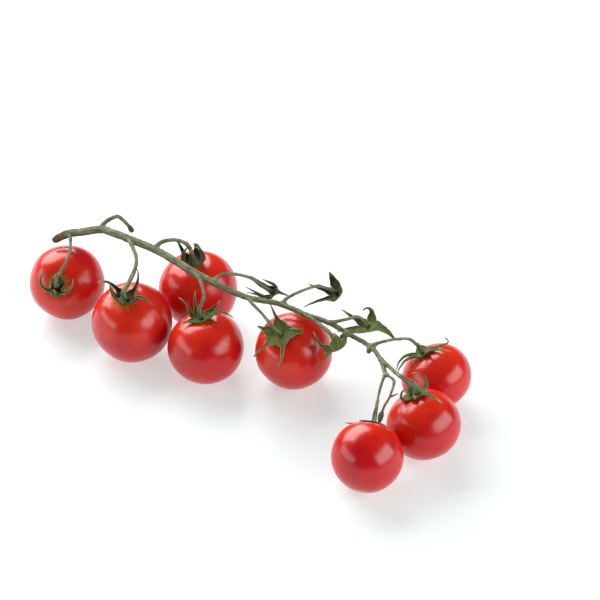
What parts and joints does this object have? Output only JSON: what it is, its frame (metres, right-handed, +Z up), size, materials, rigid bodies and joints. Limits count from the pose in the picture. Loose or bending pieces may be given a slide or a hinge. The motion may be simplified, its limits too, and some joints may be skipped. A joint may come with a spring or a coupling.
{
  "type": "truss of tomatoes",
  "caption": "Cut truss of small ripe vine tomatoes on its green stalk, lying on a surface, with star-shaped calyxes, bare stalks and a dried bud.",
  "frame": {"origin": "on the surface that the truss lies on, at the middle of its footprint", "axes": "+X along the truss from its cut end to its tip, +Z up, +Y to the side behind the stalk"},
  "size_m": [0.1932, 0.0803, 0.0447],
  "materials": {
    "tomato_skin": "smooth glossy skin of a ripe fruit",
    "stalk": "dull grey-green stalk with fine hairs",
    "calyx": "dull dark green sepal with paler tips",
    "dried_bud": "dull brown dried flower bud"
  },
  "bodies": {
    "root": {"stem": "stalk", "tomato_1": "tomato_skin", "tomato_2": "tomato_skin", "tomato_3": "tomato_skin", "tomato_4": "tomato_skin", "tomato_5": "tomato_skin", "tomato_6": "tomato_skin", "tomato_7": "tomato_skin", "tomato_8": "tomato_skin", "calyx_1": "calyx", "calyx_2": "calyx", "calyx_3": "calyx", "calyx_4": "calyx", "calyx_5": "calyx", "calyx_6": "calyx", "calyx_7": "calyx", "calyx_8": "calyx", "bare_calyx_1": "calyx", "bare_calyx_2": "calyx", "bare_calyx_3": "calyx", "bare_calyx_4": "calyx", "dried_bud": "dried_bud"}
  },
  "joints": []
}
